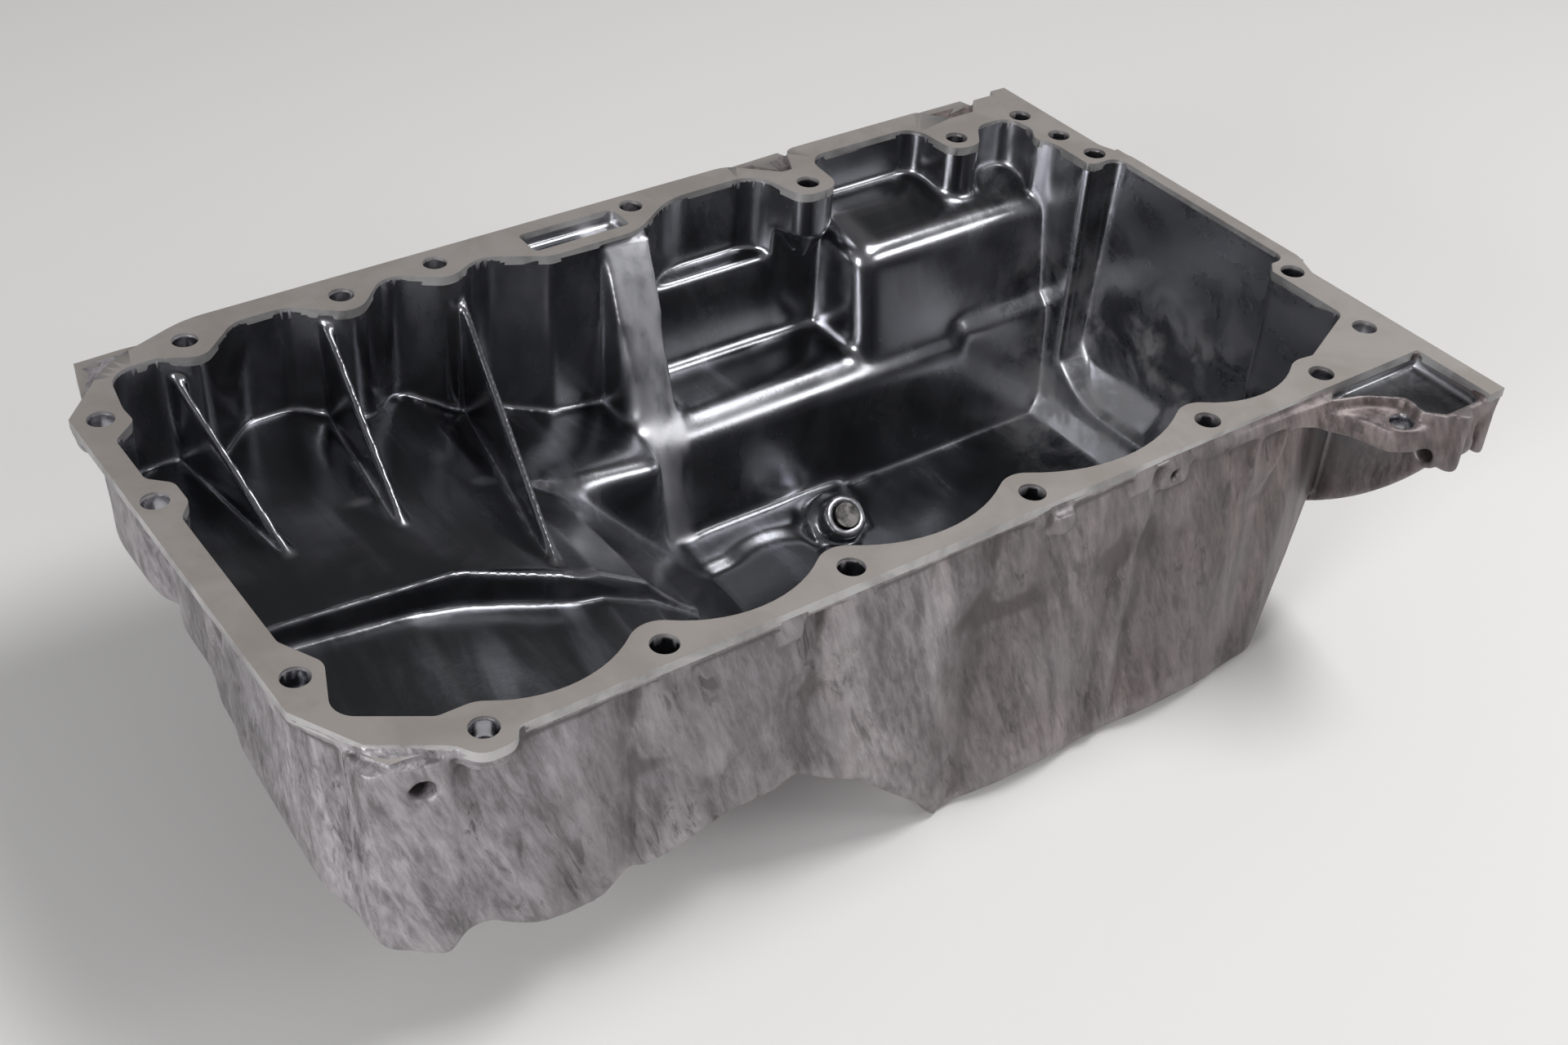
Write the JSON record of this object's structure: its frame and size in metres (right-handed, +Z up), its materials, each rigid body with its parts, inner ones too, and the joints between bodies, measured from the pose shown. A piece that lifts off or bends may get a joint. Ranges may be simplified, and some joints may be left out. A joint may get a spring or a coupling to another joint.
{
  "type": "engine oil pan",
  "caption": "Cast aluminium engine oil pan: a shallow ribbed end, a deep sump, a machined bolt rim, a gearbox face with a side bracket, and a sloping drain plug.",
  "frame": {"origin": "centre of the bounding box in plan, at the height of the sump's flat underside", "axes": "+X runs from the shallow end to the gearbox face, +Y from the bracket side to the bay side, +Z up, square to the machined gasket face"},
  "size_m": [0.4246, 0.2726, 0.131],
  "materials": {
    "cast_aluminium": "as-cast skin with a milled rim",
    "plug_steel": "dull plated steel",
    "washer_metal": "plain"
  },
  "bodies": {
    "root": {"pan_casting": "cast_aluminium", "drain_plug": "plug_steel", "plug_washer": "washer_metal"}
  },
  "joints": []
}
